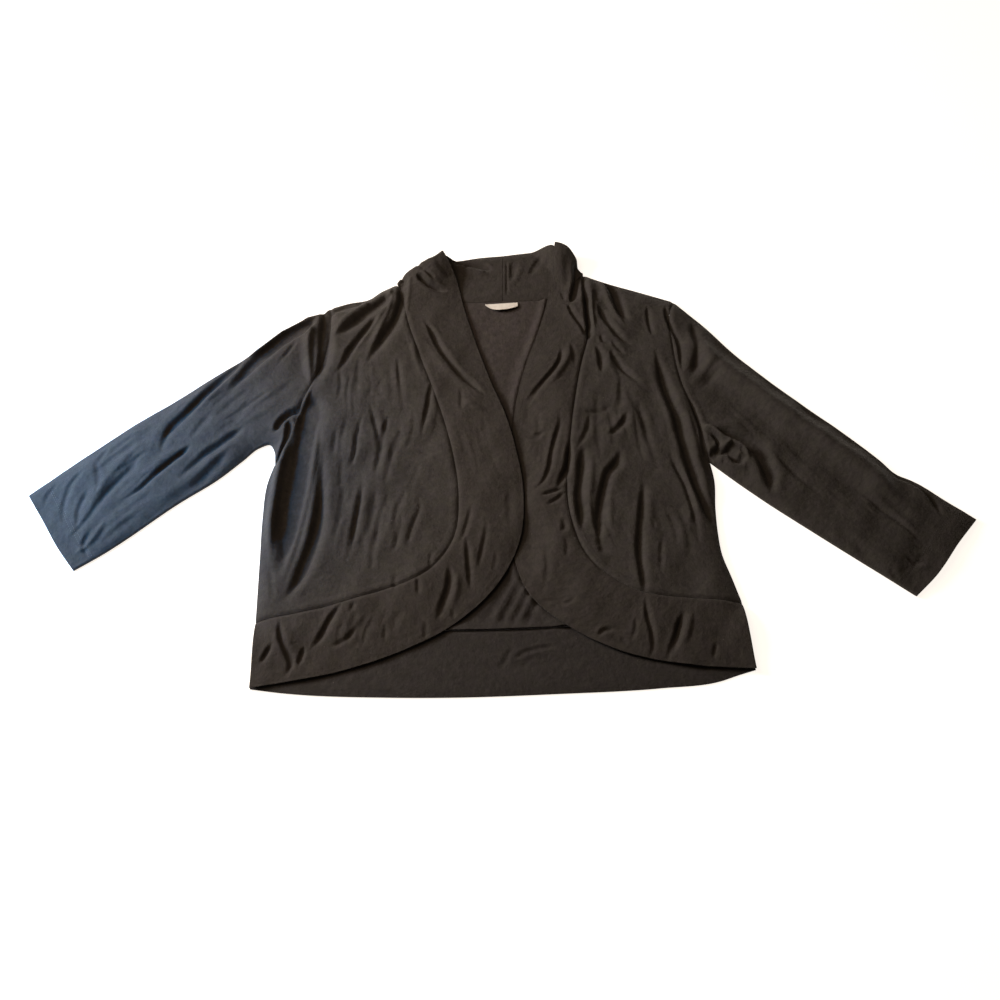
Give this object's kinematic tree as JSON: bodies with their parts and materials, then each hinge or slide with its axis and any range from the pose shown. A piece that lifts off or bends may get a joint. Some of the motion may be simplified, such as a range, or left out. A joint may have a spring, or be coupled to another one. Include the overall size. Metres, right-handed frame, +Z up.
{
  "type": "open-front cropped cardigan",
  "caption": "Open-front cropped cardigan in fine jersey with a doubled shawl-collar band, curved fronts and three-quarter sleeves, laid flat face up.",
  "frame": {"origin": "middle of the bounding box's underside, on the surface that the garment lies on", "axes": "+X to the viewer's right across the spread sleeves, +Y from the hem towards the collar, +Z up off the surface"},
  "size_m": [1.0476, 0.5955, 0.0222],
  "materials": {
    "jersey": "fine black jersey with a soft low sheen",
    "band_jersey": "the same jersey, doubled and pressed",
    "label_weave": "bare satin-woven label tape"
  },
  "bodies": {
    "root": {"back": "jersey", "back_hem_band": "band_jersey", "front_left": "jersey", "front_right": "jersey", "band_left": "band_jersey", "band_right": "band_jersey", "sleeve_left": "jersey", "sleeve_right": "jersey", "label": "label_weave"}
  },
  "joints": []
}
